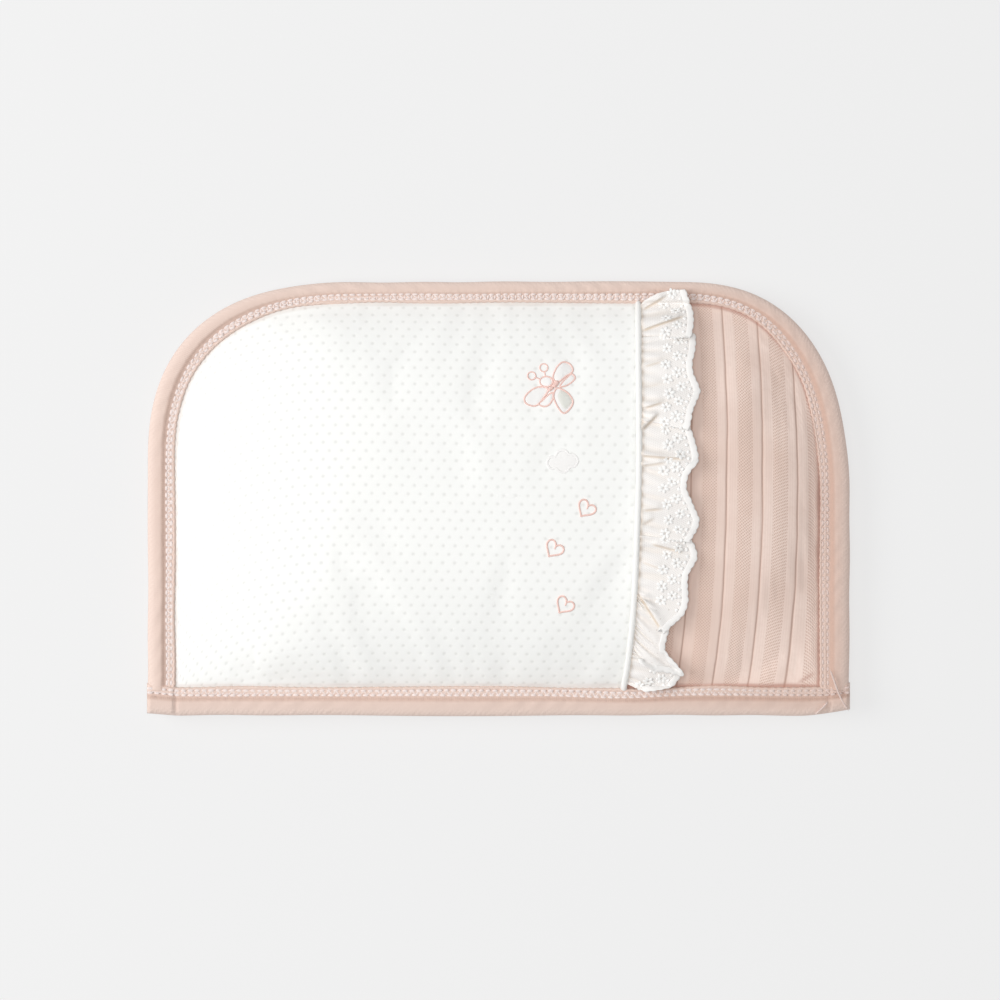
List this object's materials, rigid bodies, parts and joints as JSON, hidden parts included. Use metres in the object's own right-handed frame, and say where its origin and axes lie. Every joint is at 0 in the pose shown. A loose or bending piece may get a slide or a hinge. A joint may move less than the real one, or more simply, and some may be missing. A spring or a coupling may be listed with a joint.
{
  "type": "dome-shaped baby pillow",
  "caption": "Flat dome-shaped padded pillow with a two-panel front, piped seam, gathered lace frill, small embroidered motifs and a rolled coverstitched binding.",
  "frame": {"origin": "under the middle of the pillow's bounding box, on the surface that it lies on", "axes": "+X along the straight edge to the right as the front is seen, +Y from the straight edge towards the top of the dome, +Z out of the decorated front"},
  "size_m": [0.32, 0.198, 0.0358],
  "materials": {
    "wadding": "matte",
    "dotted_jersey": "matte",
    "ribbed_jersey": "matte",
    "white_cord": "matte",
    "piping_fabric": "matte",
    "lace_net": "matte",
    "lace_satin": "satin",
    "binding_jersey": "matte",
    "seam_thread": "satin",
    "white_satin": "satin",
    "grey_satin": "satin",
    "pink_satin": "satin"
  },
  "bodies": {
    "root": {"filling": "wadding", "back_panel": "dotted_jersey", "dotted_panel": "dotted_jersey", "ribbed_panel": "ribbed_jersey", "piping_cord": "white_cord", "piping_cover": "piping_fabric", "lace_frill": "lace_net", "frill_scallop_edge": "lace_satin", "frill_flowers": "lace_satin", "side_binding": "binding_jersey", "bottom_binding": "binding_jersey", "side_binding_stitches": "seam_thread", "bottom_binding_stitches": "seam_thread", "insect_wings": "white_satin", "insect_grey_wing": "grey_satin", "insect_outline": "pink_satin", "insect_head": "pink_satin", "insect_antennae": "pink_satin", "insect_body_knot": "pink_satin", "cloud_embroidery": "white_satin", "heart_outlines": "pink_satin", "thread_tails": "seam_thread"}
  },
  "joints": []
}
